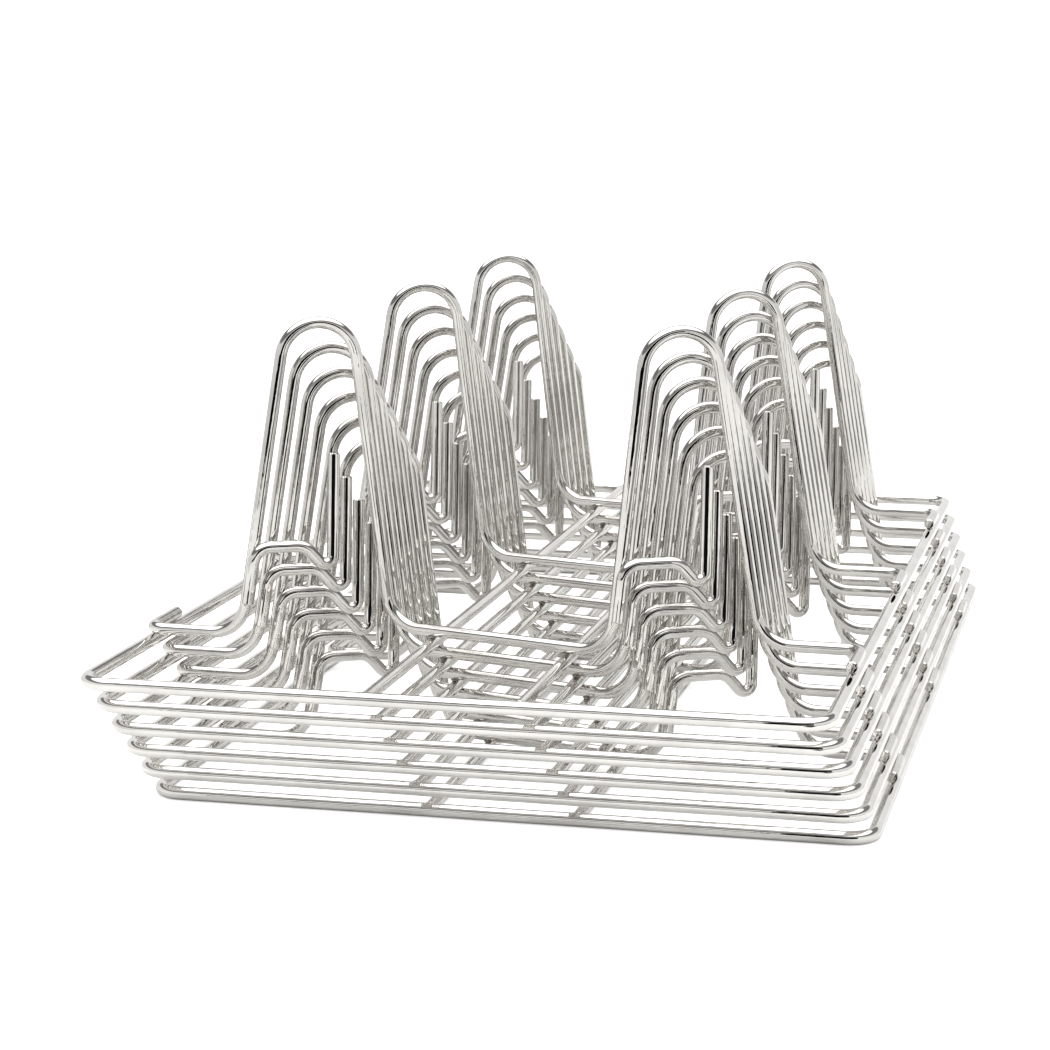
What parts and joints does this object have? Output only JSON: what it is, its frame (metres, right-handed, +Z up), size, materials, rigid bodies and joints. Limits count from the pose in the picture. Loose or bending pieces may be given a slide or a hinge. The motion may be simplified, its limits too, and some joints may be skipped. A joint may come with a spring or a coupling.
{
  "type": "nesting wire loop rack stack",
  "caption": "Nested stack of polished wire racks, each a rectangular frame with rows of upright inverted-U loops and short pegs, that lift apart.",
  "frame": {"origin": "middle of the stack's footprint, on the surface it stands on", "axes": "+Z up, +Y along the long side towards the back, where the lower racks stand out; +X to the right"},
  "size_m": [0.338, 0.5784, 0.2108],
  "materials": {
    "frame_wire": "bright polished",
    "loop_wire": "bright polished",
    "peg_wire": "bright polished"
  },
  "bodies": {
    "rack_1": {"rack_1_frame": "frame_wire", "rack_1_loops_front": "loop_wire", "rack_1_peg_front_left": "peg_wire", "rack_1_peg_front_right": "peg_wire", "rack_1_loops_middle": "loop_wire", "rack_1_peg_middle_left": "peg_wire", "rack_1_peg_middle_right": "peg_wire", "rack_1_loops_back": "loop_wire", "rack_1_peg_back_left": "peg_wire", "rack_1_peg_back_right": "peg_wire"},
    "rack_2": {"rack_2_frame": "frame_wire", "rack_2_loops_front": "loop_wire", "rack_2_peg_front_left": "peg_wire", "rack_2_peg_front_right": "peg_wire", "rack_2_loops_middle": "loop_wire", "rack_2_peg_middle_left": "peg_wire", "rack_2_peg_middle_right": "peg_wire", "rack_2_loops_back": "loop_wire", "rack_2_peg_back_left": "peg_wire", "rack_2_peg_back_right": "peg_wire"},
    "rack_3": {"rack_3_frame": "frame_wire", "rack_3_loops_front": "loop_wire", "rack_3_peg_front_left": "peg_wire", "rack_3_peg_front_right": "peg_wire", "rack_3_loops_middle": "loop_wire", "rack_3_peg_middle_left": "peg_wire", "rack_3_peg_middle_right": "peg_wire", "rack_3_loops_back": "loop_wire", "rack_3_peg_back_left": "peg_wire", "rack_3_peg_back_right": "peg_wire"},
    "rack_4": {"rack_4_frame": "frame_wire", "rack_4_loops_front": "loop_wire", "rack_4_peg_front_left": "peg_wire", "rack_4_peg_front_right": "peg_wire", "rack_4_loops_middle": "loop_wire", "rack_4_peg_middle_left": "peg_wire", "rack_4_peg_middle_right": "peg_wire", "rack_4_loops_back": "loop_wire", "rack_4_peg_back_left": "peg_wire", "rack_4_peg_back_right": "peg_wire"},
    "rack_5": {"rack_5_frame": "frame_wire", "rack_5_loops_front": "loop_wire", "rack_5_peg_front_left": "peg_wire", "rack_5_peg_front_right": "peg_wire", "rack_5_loops_middle": "loop_wire", "rack_5_peg_middle_left": "peg_wire", "rack_5_peg_middle_right": "peg_wire", "rack_5_loops_back": "loop_wire", "rack_5_peg_back_left": "peg_wire", "rack_5_peg_back_right": "peg_wire"},
    "rack_6": {"rack_6_frame": "frame_wire", "rack_6_loops_front": "loop_wire", "rack_6_peg_front_left": "peg_wire", "rack_6_peg_front_right": "peg_wire", "rack_6_loops_middle": "loop_wire", "rack_6_peg_middle_left": "peg_wire", "rack_6_peg_middle_right": "peg_wire", "rack_6_loops_back": "loop_wire", "rack_6_peg_back_left": "peg_wire", "rack_6_peg_back_right": "peg_wire"}
  },
  "joints": [
    {"name": "rack_2_lift", "type": "slide", "parent": "rack_1", "child": "rack_2", "axis": [0, 0, 1], "range_m": [0, 0.16]},
    {"name": "rack_3_lift", "type": "slide", "parent": "rack_2", "child": "rack_3", "axis": [0, 0, 1], "range_m": [0, 0.16]},
    {"name": "rack_4_lift", "type": "slide", "parent": "rack_3", "child": "rack_4", "axis": [0, 0, 1], "range_m": [0, 0.16]},
    {"name": "rack_5_lift", "type": "slide", "parent": "rack_4", "child": "rack_5", "axis": [0, 0, 1], "range_m": [0, 0.16]},
    {"name": "rack_6_lift", "type": "slide", "parent": "rack_5", "child": "rack_6", "axis": [0, 0, 1], "range_m": [0, 0.16]}
  ]
}
